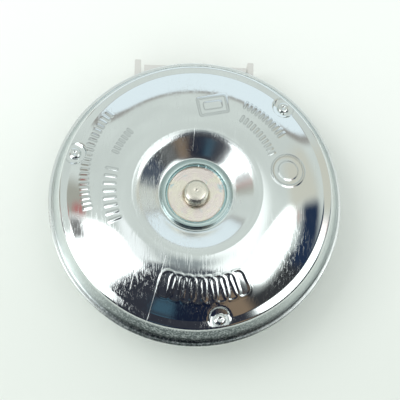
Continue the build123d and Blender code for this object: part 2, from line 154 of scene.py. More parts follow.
def noise(tree, vector, scale, detail=4.0, roughness=0.55, distortion=0.0):
    inputs = {"Vector": vector, "Scale": scale, "Detail": detail, "Roughness": roughness, "Distortion": distortion}
    return addNode(tree, "ShaderNodeTexNoise", inputs).outputs[0]


def newMaterial(name):
    material = bpy.data.materials.new(name)
    material.use_nodes = True
    tree = material.node_tree
    tree.nodes.clear()
    shader = addNode(tree, "ShaderNodeBsdfPrincipled")
    addNode(tree, "ShaderNodeOutputMaterial", {"Surface": shader.outputs[0]})
    where = addNode(tree, "ShaderNodeTexCoord").outputs["Object"]
    return material, tree, shader, where


def lengthOf(tree, x, y):
    squares = calc(tree, "ADD", calc(tree, "MULTIPLY", x, x), calc(tree, "MULTIPLY", y, y))
    return calc(tree, "SQRT", squares)


def aroundAxis(tree, where):
    # place from the horn's axis: x, y and height in metres, radius, and the angle from +X
    x, y, z = addNode(tree, "ShaderNodeSeparateXYZ", {0: where}).outputs
    return x, y, z, lengthOf(tree, x, y), calc(tree, "ARCTAN2", y, x)


def bumped(tree, shader, height, distance, strength):
    bump = addNode(tree, "ShaderNodeBump", {"Height": height, "Distance": distance, "Strength": strength})
    tree.links.new(bump.outputs[0], shader.inputs["Normal"])


# Rear shell: the drawn back of the horn, with its dish, dome, ledge, skirt and three rivet seats

shellShape = {
    "crestRadius": 22.0, "crestHeight": 29.7, "crestRound": 7.0,
    "dishAngle": 32.0, "dishRound": 12.0, "dishFootAngle": 21.0, "dishFloor": 24.9,
    "creaseRadius": 42.3, "creaseHeight": 24.7,
    "ledgeRadius": 45.0, "ledgeHeight": 24.1, "ledgeRound": 0.8,
    "footRadius": 47.7, "flangeRadius": 48.2, "flangeTop": 16.3, "sheet": 0.9,
    "footBend": ((-0.42, 1.2), (-0.28, 0.88), (-0.02, 0.72), (0.22, 0.66), (0.3, 0.0)),  # from foot and flange top
    "neckRadius": 11.9, "neckTop": 26.0, "neckRound": 0.7, "neckLip": 1.8,
    "neckFoot": ((0.0, 0.42), (0.09, 0.21)),  # small fillet, from the neck's radius and the dish's floor
    "innerFoot": (1.2, 0.35),  # bend under the neck, from its radius and the sheet's underside
    "arcTrim": 2.0,  # degrees left off an arc where it meets a corner
    # seatShadeShare: share of painted shade laid on the slopes round each rivet seat
    "seatRadius": 3.5, "seatHeight": 24.2, "seatEdge": 0.45, "seatShadeShare": 2.4,
    "waves": ((3, 0.020, 0.6), (7, 0.012, 2.0)),  # count, height, phase: no pressing is perfectly round
    "waveFull": (30.0, 40.0), "waveEnd": 43.0,
    "markEdges": (1.0, 0.4), "markStart": 0.8,  # marks and seats stay this far inside the crest and the ledge
    "columns": 610,
}
shellSteps = {  # pieces that each run of the outline is cut into
    "lip": 2, "neckTop": 4, "neckRound": 6, "neckSide": 2, "dishFoot": 6, "dishSide": 6, "crest": 24, "dome": 64,
    "ledge": 7, "ledgeRound": 6, "skirt": 7, "innerDome": 5, "innerCrest": 4,
}
rivetAngles = (47.3, 162.3, 281.7)
rivetCircle = shellShape["creaseRadius"]


def domeCircle(s):
    fall = s["crestHeight"] - s["creaseHeight"]
    run = s["creaseRadius"] - s["crestRadius"]
    radius = (run ** 2 + fall ** 2) / (2 * fall)
    return radius, degrees(asin(run / radius))


def shellOutline(s, steps):
    # (radius, height) of the upper side from the neck's lip out to the flange, and of the underside back again
    turn, footTurn = radians(s["dishAngle"]), radians(s["dishFootAngle"])
    crestSide = (s["crestRadius"] - s["crestRound"] * sin(turn), s["crestHeight"] - s["crestRound"] * (1 - cos(turn)))
    sideHeight = s["dishFloor"] + s["dishRound"] * (cos(footTurn) - cos(turn))
    sideRadius = crestSide[0] - (crestSide[1] - sideHeight) / tan(turn)
    dishCentre = (sideRadius - s["dishRound"] * sin(turn), sideHeight + s["dishRound"] * cos(turn))
    crestCentre = (s["crestRadius"], s["crestHeight"] - s["crestRound"])
    domeRound, domeAngle = domeCircle(s)
    domeCentre = (s["crestRadius"], s["crestHeight"] - domeRound)
    neckCentre = (s["neckRadius"] - s["neckRound"], s["neckTop"] - s["neckRound"])
    lipRadius = s["neckRadius"] - s["neckLip"]
    skirtSteep = degrees(atan2(s["ledgeHeight"] - s["flangeTop"], s["footRadius"] - s["ledgeRadius"]))
    ledgeSteep = degrees(atan2(s["creaseHeight"] - s["ledgeHeight"], s["ledgeRadius"] - s["creaseRadius"]))
    # fillet between the ledge and the skirt
    back = s["ledgeRound"] * tan(radians(skirtSteep - ledgeSteep) / 2)
    across, down = cos(radians(ledgeSteep)), sin(radians(ledgeSteep))
    ledgeStop = (s["ledgeRadius"] - back * across, s["ledgeHeight"] + back * down)
    ledgeCentre = (ledgeStop[0] - s["ledgeRound"] * down, ledgeStop[1] - s["ledgeRound"] * across)
    ledgeArc = arcPoints(ledgeCentre, s["ledgeRound"], 90 - ledgeSteep, 90 - skirtSteep, steps["ledgeRound"])
    neckFoot = [(s["neckRadius"] + out, s["dishFloor"] + rise) for out, rise in s["neckFoot"]]
    dishStart = 270 + s["arcTrim"] + s["dishFootAngle"]
    neck = [
        linePoints((lipRadius, s["neckTop"] - s["sheet"]), (lipRadius, s["neckTop"]), steps["lip"]),
        linePoints((lipRadius, s["neckTop"]), (neckCentre[0], s["neckTop"]), steps["neckTop"]),
        arcPoints(neckCentre, s["neckRound"], 90, 0, steps["neckRound"]),
        linePoints((s["neckRadius"], neckCentre[1]), neckFoot[0], steps["neckSide"]),
        neckFoot,
    ]
    dish = [
        arcPoints(dishCentre, s["dishRound"], dishStart, 270 + s["dishAngle"], steps["dishFoot"]),
        linePoints((sideRadius, sideHeight), crestSide, steps["dishSide"]),
        arcPoints(crestCentre, s["crestRound"], 90 + s["dishAngle"], 90, steps["crest"]),
    ]
    dome = [arcPoints(domeCentre, domeRound, 90, 90 - domeAngle, steps["dome"])]
    footBend = [(s["footRadius"] + out, s["flangeTop"] + rise) for out, rise in s["footBend"]]
    rim = [
        linePoints((s["creaseRadius"], s["creaseHeight"]), ledgeStop, steps["ledge"]),
        ledgeArc,
        linePoints(ledgeArc[-1], footBend[0], steps["skirt"]),
        footBend,
        [(s["flangeRadius"], s["flangeTop"])],
    ]
    outer = chained(*neck, *dish, *dome, *rim)
    inner = [
        (s["flangeRadius"], s["flangeTop"] - s["sheet"]),
        (s["footRadius"] - s["sheet"], s["flangeTop"] - s["sheet"]),
        (s["ledgeRadius"] - s["sheet"], s["ledgeHeight"] - s["sheet"]),
        (s["creaseRadius"] - s["sheet"], s["creaseHeight"] - s["sheet"]),
        *arcPoints(domeCentre, domeRound - s["sheet"], 90 - domeAngle + s["arcTrim"], 90, steps["innerDome"]),
        *arcPoints(crestCentre, s["crestRound"] - s["sheet"], 90, 90 + s["dishAngle"], steps["innerCrest"]),
        (s["neckRadius"] + s["innerFoot"][0], s["dishFloor"] - s["sheet"] + s["innerFoot"][1]),
        (s["neckRadius"] - s["sheet"], s["dishFloor"] - s["sheet"]),
        (s["neckRadius"] - s["sheet"], s["neckTop"] - s["sheet"]),
    ]
    return outer, inner


# Relief pressed in the dome: bars, loops, a framed pad and a ringed pad, by radius and angle from +X

# reliefShadeShare: share of painted shade laid on the slopes of the relief
markStyle = {"height": 0.13, "edge": 0.62, "outlineWidth": 0.30, "reliefShadeShare": 0.5, "barFlat": 0.05}
framedPad = {"radius": 30.2, "angle": 80.9, "turn": 12.0,
             "frame": (4.7, 3.1), "frameCorner": 0.5, "pad": (3.1, 1.4), "padCorner": 0.7}
ringedPad = {"radius": 31.0, "angle": 14.9, "ring": 5.3, "pad": 3.3}
barRows = (  # first and last radius, first and last angle, count, half sizes along the arc and across it
    {"radii": (34.4, 34.4), "angles": (62.5, 36.5), "count": 11, "half": (0.36, 1.5)},
    {"radii": (29.2, 28.0), "angles": (60.0, 29.0), "count": 11, "half": (0.34, 1.25)},
    {"radii": (29.9, 29.6), "angles": (138.5, 155.0), "count": 7, "half": (0.34, 1.2)},
    {"radii": (39.6, 35.9), "angles": (138.0, 190.0), "count": 21, "half": (0.38, 1.5)},
    {"radii": (28.6, 28.2), "angles": (166.5, 201.5), "count": 8, "half": (0.42, 2.1)},
)
loopRow = {"radii": (32.5, 33.5), "angles": (254.0, 296.0), "count": 8, "half": (2.5, 4.3), "corner": 2.2}


def roundedBox(x, y, half, corner):
    dx = np.abs(x) - (half[0] - corner)
    dy = np.abs(y) - (half[1] - corner)
    return np.hypot(np.maximum(dx, 0), np.maximum(dy, 0)) + np.minimum(np.maximum(dx, dy), 0) - corner


def softStep(value, start, end):
    t = np.clip((value - start) / (end - start), 0, 1)
    return t * t * (3 - 2 * t)


def rowPlaces(row):
    shares = [k / (row["count"] - 1) for k in range(row["count"])]
    return [[first + (last - first) * share for first, last in (row["radii"], row["angles"])] for share in shares]


def markHeights(x, y):
    # share of the full relief at each point, 0 to 1
    style = markStyle
    raised = np.zeros_like(x)

    def local(radius, angle, turn):
        centre = radius * cos(radians(angle)), radius * sin(radians(angle))
        dx, dy = x - centre[0], y - centre[1]
        c, s = cos(radians(turn)), sin(radians(turn))
        return dx * c + dy * s, -dx * s + dy * c

    def press(distance):
        np.maximum(raised, softStep(distance, style["edge"] / 2, -style["edge"] / 2), out=raised)

    def outline(distance):
        press(np.abs(distance) - style["outlineWidth"])

    framed = local(framedPad["radius"], framedPad["angle"], framedPad["turn"])
    outline(roundedBox(*framed, framedPad["frame"], framedPad["frameCorner"]))
    press(roundedBox(*framed, framedPad["pad"], framedPad["padCorner"]))
    away = np.hypot(*local(ringedPad["radius"], ringedPad["angle"], 0))
    outline(away - ringedPad["ring"])
    press(away - ringedPad["pad"])
    for row in barRows:
        for radius, angle in rowPlaces(row):
            press(roundedBox(*local(radius, angle, angle - 90), row["half"], min(row["half"]) - style["barFlat"]))
    for radius, angle in rowPlaces(loopRow):
        outline(roundedBox(*local(radius, angle, angle - 90), loopRow["half"], loopRow["corner"]))
    return raised


def makeRearShell():
    s = shellShape
    outer, inner = shellOutline(s, shellSteps)
    columns = s["columns"]
    outline = np.array(outer + inner)
    turns = 2 * pi * np.arange(columns) / columns
    radius = outline[:, 0][:, None] * np.ones(columns)
    height = outline[:, 1][:, None] * np.ones(columns)
    x, y = radius * np.cos(turns), radius * np.sin(turns)
    outside = (np.arange(len(outline)) < len(outer))[:, None]
    onTop = outside & (radius > s["crestRadius"] - s["markEdges"][0]) & (radius < s["ledgeRadius"] - s["markEdges"][1])
    raised = np.where(onTop & (radius > s["crestRadius"] + s["markStart"]), markHeights(x, y), 0)
    height = height + raised * markStyle["height"]
    # painted shade: darkening on the slopes of the pressed relief, which the shell's material reads from a point
    # attribute
    reliefShade = 4 * raised * (1 - raised)
    wave = sum(tall * np.sin(count * turns + phase) for count, tall, phase in s["waves"])
    fade = softStep(radius, s["crestRadius"], s["waveFull"][0]) * softStep(radius, s["waveEnd"], s["waveFull"][1])
    height = np.where(onTop, height + wave * fade, height)
    for angle in rivetAngles:
        away = np.hypot(x - rivetCircle * cos(radians(angle)), y - rivetCircle * sin(radians(angle)))
        seat = softStep(away, s["seatRadius"] + s["seatEdge"], s["seatRadius"] - s["seatEdge"])
        height = np.where(onTop, height + (np.minimum(height, s["seatHeight"]) - height) * seat, height)
        # painted shade also on the slopes round each rivet seat
        reliefShade = np.where(onTop, np.maximum(reliefShade, s["seatShadeShare"] * seat * (1 - seat)), reliefShade)
    points = np.stack([x, y, height], axis=-1).reshape(-1, 3) * millimetre
    faces = ringFaces(len(outline), columns)
    shell = meshPiece("pressedRearShell", points, faces)
    # point attribute holding the painted shade of the relief and seat slopes
    tone = shell.data.attributes.new("paintedReliefShade", "FLOAT", "POINT")
    tone.data.foreach_set("value", reliefShade.reshape(-1).astype(np.float32))
    return facedOutwards(shell)


# Finish of the shell: bright zinc, rubbed in patches and scratched, with painted shade on the slopes of its relief and
# rivet seats, and a speckled painted dark reflection on the near side of its skirt

zincPlate = {
    # where each part's own tone begins and is full, by radius in metres
    "skirtFrom": (0.0449, 0.0456), "dishFrom": (0.0225, 0.0185), "neckFrom": (0.0124, 0.0119),
    "neckLipFrom": (0.0103, 0.0112),
    # tones
    # reliefShadeTone: colour of the painted shade on the slopes of the relief and the rivet seats
    "bright": (0.82, 0.85, 0.845, 1), "neckTones": ((0.70, 0.82, 0.81, 1), (0.42, 0.51, 0.505, 1)),
    "skirtTones": ((0.60, 0.66, 0.65, 1), (0.84, 0.88, 0.87, 1)), "reliefShadeTone": (0.22, 0.24, 0.25, 1),
    # roughness of the plain plate, and what each kind of place adds to it
    "rough": (0.04, 0.085), "rubbedRough": 0.20, "skirtRough": 0.27, "dishRough": 0.12, "neckRough": 0.14,
    "scratchRough": 0.3,
    # relief: depth in metres and strength of the bump, and the share that each pattern has in it
    "relief": (0.00003, 0.5), "hazeRelief": 0.25, "rubbedRelief": 0.40, "scratchRelief": 0.8, "drawnRelief": 2.0,
    "grainRelief": (0.5, 0.16), "drawLines": (60.0, 40.0),  # lines round the skirt, and their change with height
    # rubbing marks: direction in radians and scale of each set, and the patches that hold them
    "rubs": ((1.1, 1400.0), (-0.5, 1900.0), (0.35, 2600.0)), "rubStretch": 0.03, "rubCut": (0.56, 0.70),
    "patchScale": 55.0, "patchCut": (0.36, 0.60),
}
# painted dark reflection of the room, speckled, on the near side of the skirt and of the cover's lip; skirtTones here
# are its two tones on the skirt
nearSideReflection = {
    "azimuth": 266.0, "nearest": 16.0, "farthest": 60.0,  # degrees: painted dark reflection in full up to nearest, none past farthest
    "speckScale": 1500.0, "skirtTones": ((0.11, 0.135, 0.14, 1), (0.52, 0.56, 0.56, 1)),
    "lipReflectionTones": ((0.10, 0.12, 0.12, 1), (0.40, 0.43, 0.43, 1)),
}
shellScratches = (  # from, to, half width, in metres
    ((-0.00944, -0.0221), (-0.0150, -0.0425), 0.00016),
    ((-0.0189, -0.0242), (-0.0207, -0.0327), 0.00014),
    ((-0.00094, 0.0222), (-0.00152, 0.0145), 0.00007),
)


def rubbedPatches(tree, where):
    # fine rubbing marks: stretched noise laid in three directions, in patches
    style = zincPlate
    rubs = []
    for angle, scale in style["rubs"]:
        inputs = {"Vector": where, "Rotation": (0, 0, angle), "Scale": (1, style["rubStretch"], 1)}
        turned = addNode(tree, "ShaderNodeMapping", inputs)
        rubs.append(ramped(tree, noise(tree, turned.outputs[0], scale, 2.0), *style["rubCut"]))
    rubbing = calc(tree, "MAXIMUM", calc(tree, "MAXIMUM", rubs[0], rubs[1]), rubs[2])
    patches = ramped(tree, noise(tree, where, style["patchScale"], 3.0), *style["patchCut"])
    return calc(tree, "MULTIPLY", rubbing, patches)


def scratchLines(tree, x, y):
    # distance from each straight scratch, the nearest point held between its two ends
    lines = None
    for start, end, width in shellScratches:
        along = Vector(end) - Vector(start)
        dx = calc(tree, "SUBTRACT", x, start[0])
        dy = calc(tree, "SUBTRACT", y, start[1])
        share = calc(tree, "ADD", calc(tree, "MULTIPLY", dx, along.x / along.length_squared),
                     calc(tree, "MULTIPLY", dy, along.y / along.length_squared))
        share = addNode(tree, "ShaderNodeClamp", {0: share}).outputs[0]
        offX = calc(tree, "SUBTRACT", dx, calc(tree, "MULTIPLY", share, along.x))
        offY = calc(tree, "SUBTRACT", dy, calc(tree, "MULTIPLY", share, along.y))
        line = ramped(tree, lengthOf(tree, offX, offY), width, width * 0.3)
        lines = line if lines is None else calc(tree, "MAXIMUM", lines, line)
    return lines


def nearSideDarkening(tree, where, turn):
    # painted dark reflection: the near side, round the azimuth given, is darkened and speckled on the skirt and on the
    # cover's lip
    off = calc(tree, "WRAP", calc(tree, "SUBTRACT", turn, radians(nearSideReflection["azimuth"])), pi, -pi)
    nearSideShade = ramped(tree, calc(tree, "ABSOLUTE", off), radians(nearSideReflection["farthest"]), radians(nearSideReflection["nearest"]))
    return nearSideShade, ramped(tree, noise(tree, where, nearSideReflection["speckScale"], 3.0, 0.7), 0.44, 0.66)


def shellFinish():
    style = zincPlate
    material, tree, shader, where = newMaterial("brightZincPlate")
    x, y, z, radius, turn = aroundAxis(tree, where)
    skirt = ramped(tree, radius, *style["skirtFrom"])
    neck = ramped(tree, radius, *style["neckFrom"])
    dish = calc(tree, "SUBTRACT", ramped(tree, radius, *style["dishFrom"]), neck)
    haze = noise(tree, where, 90.0, 5.0, 0.6)
    rubbing = rubbedPatches(tree, where)
    scratches = scratchLines(tree, x, y)
    # draw lines on the skirt: noise that changes with the angle and hardly with the height
    aroundScale, upScale = style["drawLines"]
    lines = addNode(tree, "ShaderNodeCombineXYZ", {0: calc(tree, "MULTIPLY", turn, aroundScale),
                                                   1: calc(tree, "MULTIPLY", z, upScale), 2: 0.0})
    drawLines = noise(tree, lines.outputs[0], 4.0, 5.0, 0.7)
    nearSideShade, reflectionSpecks = nearSideDarkening(tree, where, turn)
    # painted shade on the slopes of the relief and of the rivet seats, read from the point attribute
    pressed = addNode(tree, "ShaderNodeAttribute", attribute_name="paintedReliefShade").outputs["Fac"]

    neckTone = mixed(tree, ramped(tree, radius, *style["neckLipFrom"]), *style["neckTones"])
    base = mixed(tree, neck, style["bright"], neckTone)
    side = mixed(tree, drawLines, *style["skirtTones"])
    # painted dark reflection on the near side of the skirt
    side = mixed(tree, nearSideShade, side, mixed(tree, reflectionSpecks, *nearSideReflection["skirtTones"]))
    base = mixed(tree, skirt, base, side)
    # painted shade darkens the slopes of the relief and the rivet seats
    base = mixed(tree, calc(tree, "MULTIPLY", pressed, markStyle["reliefShadeShare"]), base, style["reliefShadeTone"])
    tree.links.new(base, shader.inputs["Base Color"])

    rough = ramped(tree, haze, 0.3, 0.7, *style["rough"])
    for place, more in ((rubbing, "rubbedRough"), (skirt, "skirtRough"), (dish, "dishRough"), (neck, "neckRough"),
                        (scratches, "scratchRough")):
        rough = calc(tree, "ADD", rough, calc(tree, "MULTIPLY", place, style[more]))
    tree.links.new(rough, shader.inputs["Roughness"])
    shader.inputs["Metallic"].default_value = 1.0

    bumps = calc(tree, "ADD", calc(tree, "MULTIPLY", haze, style["hazeRelief"]),
                 calc(tree, "MULTIPLY", rubbing, style["rubbedRelief"]))
    bumps = calc(tree, "SUBTRACT", bumps, calc(tree, "MULTIPLY", scratches, style["scratchRelief"]))
    grainShare = calc(tree, "MULTIPLY_ADD", dish, *style["grainRelief"])
    bumps = calc(tree, "ADD", bumps, calc(tree, "MULTIPLY", noise(tree, where, 1300.0, 2.0), grainShare))
    drawn = calc(tree, "MULTIPLY", calc(tree, "MULTIPLY", drawLines, skirt), style["drawnRelief"])
    bumped(tree, shader, calc(tree, "ADD", bumps, drawn), *style["relief"])
    return material


rearShell = makeRearShell()
rearShell.data.materials.append(shellFinish())
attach(rearShell, "root")
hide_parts("rear_shell")
print("rear shell:", len(rearShell.data.polygons), "faces")


# Pieces that repeat: one template put on every point of a row by Geometry Nodes

def repeated(name, places, template, material, scale=1.0, spin=None):
    # places in mm; spin, in degrees, turns each copy about the horn's axis
    rows = bpy.data.meshes.new(name + "Places")
    rows.from_pydata([tuple(v * millimetre for v in place) for place in places], [], [])
    turnData = rows.attributes.new("spin", "FLOAT", "POINT")
    turnData.data.foreach_set("value", [radians(a) for a in (spin or [0.0] * len(places))])
    carrier = bpy.data.objects.new(name + "Places", rows)
    scene.collection.objects.link(carrier)
    tree = bpy.data.node_groups.new(name + "Row", "GeometryNodeTree")
    tree.interface.new_socket("Geometry", in_out="INPUT", socket_type="NodeSocketGeometry")
    sizeSocket = tree.interface.new_socket("Copy Size", in_out="INPUT", socket_type="NodeSocketFloat")
    pieceSocket = tree.interface.new_socket("Template", in_out="INPUT", socket_type="NodeSocketObject")
    tree.interface.new_socket("Geometry", in_out="OUTPUT", socket_type="NodeSocketGeometry")
    entry = tree.nodes.new("NodeGroupInput")
    leave = tree.nodes.new("NodeGroupOutput")
    piece = addNode(tree, "GeometryNodeObjectInfo", {"Object": entry.outputs["Template"], "As Instance": True})
    turned = addNode(tree, "GeometryNodeInputNamedAttribute", {"Name": "spin"}, data_type="FLOAT")
    axis = addNode(tree, "ShaderNodeCombineXYZ", {2: turned.outputs[0]})
    size = addNode(tree, "ShaderNodeCombineXYZ", {k: entry.outputs["Copy Size"] for k in range(3)})
    inputs = {"Points": entry.outputs["Geometry"], "Instance": piece.outputs["Geometry"],
              "Rotation": axis.outputs[0], "Scale": size.outputs[0]}
    copies = addNode(tree, "GeometryNodeInstanceOnPoints", inputs)
    plain = addNode(tree, "GeometryNodeRealizeInstances", {"Geometry": copies.outputs[0]})
    painted = addNode(tree, "GeometryNodeSetMaterial", {"Geometry": plain.outputs[0], "Material": material})
    tree.links.new(painted.outputs[0], leave.inputs[0])
    modifier = carrier.modifiers.new("row", "NODES")
    modifier.node_group = tree
    modifier[sizeSocket.identifier] = scale
    modifier[pieceSocket.identifier] = template
    graph = bpy.context.evaluated_depsgraph_get()
    mesh = bpy.data.meshes.new_from_object(carrier.evaluated_get(graph))
    mesh.name = name
    carrier.modifiers.clear()
    made = bpy.data.objects.new(name, mesh)
    scene.collection.objects.link(made)
    bpy.data.objects.remove(carrier)
    bpy.data.objects.remove(template)
    return made


def metal(name, colour, second, rough, grain=900.0, relief=0.000004):
    # plated or bare metal with a cloudy tone and a fine grain
    material, tree, shader, where = newMaterial(name)
    cloud = ramped(tree, noise(tree, where, 140.0, 4.0), 0.35, 0.65)
    fine = noise(tree, where, grain, 3.0, 0.6)
    tree.links.new(mixed(tree, cloud, (*colour, 1), (*second, 1)), shader.inputs["Base Color"])
    tree.links.new(ramped(tree, fine, 0.3, 0.7, rough * 0.75, rough * 1.3), shader.inputs["Roughness"])
    shader.inputs["Metallic"].default_value = 1.0
    bumped(tree, shader, fine, relief, 0.6)
    return material


# Core: turned head with its staked ring, and the M8 stud with its thread

coreShape = {
    "poleFace": 13.6, "poleRadius": 7.5, "plateTop": 24.0, "headRadius": 10.9, "lipBottom": 25.1,
    "ridge": (10.05, 9.8, 9.55), "ridgeTop": 25.35,  # ring pressed up by staking: its foot, outer and inner radius
    "discRadius": 9.2, "discHeight": 24.6, "discStep": 0.05, "edge": 0.15,
    "grooveRadii": (4.35, 4.0), "grooveDepth": 0.25,  # round the stud's foot
    "footRadius": 3.70, "footHeight": 0.5, "shankRadius": 3.65, "studEnd": 29.0,
    "chamferRadius": 3.25, "chamferLength": 0.7, "chamferDrop": 0.08,
    "centreMark": ((0.9, 0.0), (0.4, 0.1), (0.0, 0.6)),  # radius and depth
    "discSteps": 8, "shankSteps": 4, "columns": 128,
}
threadShape = {
    "pitch": 1.25, "root": 3.45, "crest": 3.98, "base": 0.45, "flat": 0.081,  # half widths as shares of the pitch
    "start": 0.95, "turns": 3, "columns": 96,
}
headFinish = {
    "ringScale": 6500.0, "ringRough": (0.22, 0.42), "lipFrom": (0.0092, 0.0096), "studFrom": (0.0043, 0.0040),
    "tints": ((0.93, 0.87, 0.75, 1), (0.90, 0.80, 0.76, 1)), "blueTint": (0.62, 0.74, 0.76, 1),
    "lipTone": (0.50, 0.68, 0.70, 1), "studTone": (0.86, 0.81, 0.71, 1),
}
stakingStyle = {
    "angles": (22, 34, 44, 57, 71, 86, 160, 214, 268, 330), "radius": 9.75, "height": 25.25, "stretch": 2.2,
    "outline": ((0, -0.1), (0.36, 0.0), (0.30, 0.12), (0.12, 0.2), (0, 0.22)), "columns": 16,
}


def turnedSteel():
    # lathe rings in the head, with the yellow, pink and blue tints of its passivation
    style = headFinish
    material, tree, shader, where = newMaterial("passivatedSteel")
    x, y, z, radius, turn = aroundAxis(tree, where)
    spokes = addNode(tree, "ShaderNodeCombineXYZ", {0: calc(tree, "MULTIPLY", radius, style["ringScale"]),
                                                    1: calc(tree, "MULTIPLY", turn, 0.7), 2: 0.0})
    rings = noise(tree, spokes.outputs[0], 1.0, 3.0, 0.7)
    tone = mixed(tree, ramped(tree, noise(tree, where, 210.0, 3.0, 0.6, 0.8), 0.38, 0.62), *style["tints"])
    tone = mixed(tree, ramped(tree, noise(tree, where, 330.0, 2.0, 0.5, 0.4), 0.60, 0.74), tone, style["blueTint"])
    tone = mixed(tree, ramped(tree, radius, *style["lipFrom"]), tone, style["lipTone"])
    stud = ramped(tree, radius, *style["studFrom"])
    tone = mixed(tree, stud, tone, style["studTone"])
    tree.links.new(tone, shader.inputs["Base Color"])
    tree.links.new(ramped(tree, rings, 0.3, 0.7, *style["ringRough"]), shader.inputs["Roughness"])
    shader.inputs["Metallic"].default_value = 1.0
    flat = calc(tree, "SUBTRACT", 1.0, stud)
    bumped(tree, shader, calc(tree, "MULTIPLY", rings, flat), 0.00004, 0.7)
    return material


def coreOutline(c):
    top, tip, edge = c["discHeight"], c["studEnd"], c["edge"]
    ridgeFoot, ridgeOuter, ridgeInner = c["ridge"]
    grooveOuter, grooveInner = c["grooveRadii"]
    shankFoot = (c["shankRadius"], top + c["footHeight"])
    shankEnd = (c["shankRadius"], tip - c["chamferLength"])
    return chained(
        # pole and head, up to the lip
        [(0, c["poleFace"]), (c["poleRadius"], c["poleFace"]), (c["poleRadius"], c["plateTop"]),
         (c["headRadius"], c["plateTop"]), (c["headRadius"], c["lipBottom"])],
        # staked ring and flat disc
        [(ridgeFoot, c["lipBottom"]), (ridgeOuter, c["ridgeTop"]), (ridgeInner, c["ridgeTop"]),
         (c["discRadius"], top + c["discStep"]), (c["discRadius"] - edge, top)],
        linePoints((c["discRadius"] - 2 * edge, top), (grooveOuter, top), c["discSteps"]),
        # groove, foot and shank of the stud
        [(grooveInner, top - c["grooveDepth"]), (c["footRadius"], top - c["grooveDepth"]),
         (c["footRadius"], top + c["footHeight"])],
        linePoints(shankFoot, shankEnd, c["shankSteps"]),
        # chamfered end with its centre mark
        [(c["chamferRadius"], tip - c["chamferDrop"]), (c["chamferRadius"] - edge, tip)],
        [(radius, tip - depth) for radius, depth in c["centreMark"]],
    )


def makeCore():
    c = coreShape
    steel = turnedSteel()
    core = facedOutwards(lathed("turnedCore", coreOutline(c), c["columns"]))
    core.data.shade_smooth()
    core.data.materials.append(steel)
    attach(core, "root")
    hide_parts("core_stud")
    # thread: one ridge for each pitch
    t = threadShape
    base, flat = t["pitch"] * t["base"], t["pitch"] * t["flat"]
    outline = [(t["root"], -base), (t["crest"], -flat), (t["crest"], flat), (t["root"], base)]
    ridge = facedOutwards(lathed("threadRidge", outline, t["columns"]))
    levels = [(0, 0, c["discHeight"] + t["start"] + t["pitch"] * k) for k in range(t["turns"])]
    thread = repeated("studThread", levels, ridge, steel)
    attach(thread, "root")
    # staking marks: small burrs that the tool raised along the ring
    m = stakingStyle
    burr = facedOutwards(lathed("stakingBurr", m["outline"], m["columns"]))
    for corner in burr.data.vertices:
        corner.co.x *= m["stretch"]
    spots = [(m["radius"] * cos(radians(a)), m["radius"] * sin(radians(a)), m["height"]) for a in m["angles"]]
    marks = repeated("stakingMarks", spots, burr, steel, spin=m["angles"])
    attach(marks, "root")


makeCore()
print("core and stud ready")


# Rivets of the shell: dimpled domed heads, from one lathed rivet

rivetShape = {
    "lowerHead": 20.9, "lugBottom": 21.8, "seat": 24.2, "headRadius": 2.0, "shankRadius": 1.2, "edge": 0.12,
    "underCut": 0.1, "headHeight": 0.9, "roundness": 0.9, "headSteps": 10,
    "dimpleRadius": 0.8, "dimple": ((0.7, 0.1), (0.35, 0.3), (0.0, 0.4)),  # share of its radius, and depth
    "columns": 48,
}


def makeRivets():
    r = rivetShape
    top = r["seat"] + r["headHeight"]
    wide, tall = r["headRadius"] - r["dimpleRadius"], r["headHeight"] - r["edge"]
    foot = r["seat"] + r["edge"]
    head = [(r["dimpleRadius"] + wide * cos(radians(a)), foot + tall * sin(radians(a)) ** r["roundness"])
            for a in np.linspace(0, 90, r["headSteps"] + 1)]
    outline = [
        (0, r["lowerHead"]), (r["headRadius"], r["lowerHead"]), (r["headRadius"], r["lugBottom"]),
        (r["shankRadius"], r["lugBottom"]), (r["shankRadius"], r["seat"]), (r["headRadius"] - r["underCut"], r["seat"]),
        *head,
        *[(r["dimpleRadius"] * share, top - depth) for share, depth in r["dimple"]],
    ]
    template = facedOutwards(lathed("rivetTemplate", outline, r["columns"]))
    zinc = metal("rivetZinc", (0.80, 0.82, 0.81), (0.70, 0.73, 0.72), 0.16, 1500.0, 0.00002)
    places = [(rivetCircle * cos(radians(a)), rivetCircle * sin(radians(a)), 0) for a in rivetAngles]
    rivets = repeated("shellRivets", places, template, zinc)
    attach(rivets, "root")
    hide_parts("shell_rivets")
    return zinc


rivetZinc = makeRivets()
print("rivets ready")


# Finishes of the pieces that keep their CAD shape

def nylon(name, colour, second, rough):
    material, tree, shader, where = newMaterial(name)
    cloud = noise(tree, where, 60.0, 4.0)
    grain = noise(tree, where, 1600.0, 2.0)
    tree.links.new(mixed(tree, cloud, (*colour, 1), (*second, 1)), shader.inputs["Base Color"])
    tree.links.new(ramped(tree, grain, 0.3, 0.7, rough * 0.8, rough * 1.2), shader.inputs["Roughness"])
    shader.inputs["Subsurface Weight"].default_value = 0.15
    shader.inputs["Subsurface Radius"].default_value = (0.002, 0.002, 0.0018)
    bumped(tree, shader, grain, 0.00002, 0.4)
    return material


wirePitch = 0.0006  # metres from one turn of the coil to the next


def woundCopper():
    material, tree, shader, where = newMaterial("enamelledCopper")
    z = addNode(tree, "ShaderNodeSeparateXYZ", {0: where}).outputs[2]
    turns = calc(tree, "SINE", calc(tree, "MULTIPLY", z, 2 * pi / wirePitch))
    cloud = noise(tree, where, 120.0, 3.0)
    tree.links.new(mixed(tree, cloud, (0.60, 0.24, 0.12, 1), (0.76, 0.36, 0.20, 1)), shader.inputs["Base Color"])
    tree.links.new(ramped(tree, cloud, 0.3, 0.7, 0.25, 0.4), shader.inputs["Roughness"])
    shader.inputs["Metallic"].default_value = 0.9
    bumped(tree, shader, turns, 0.0001, 0.6)
    return material


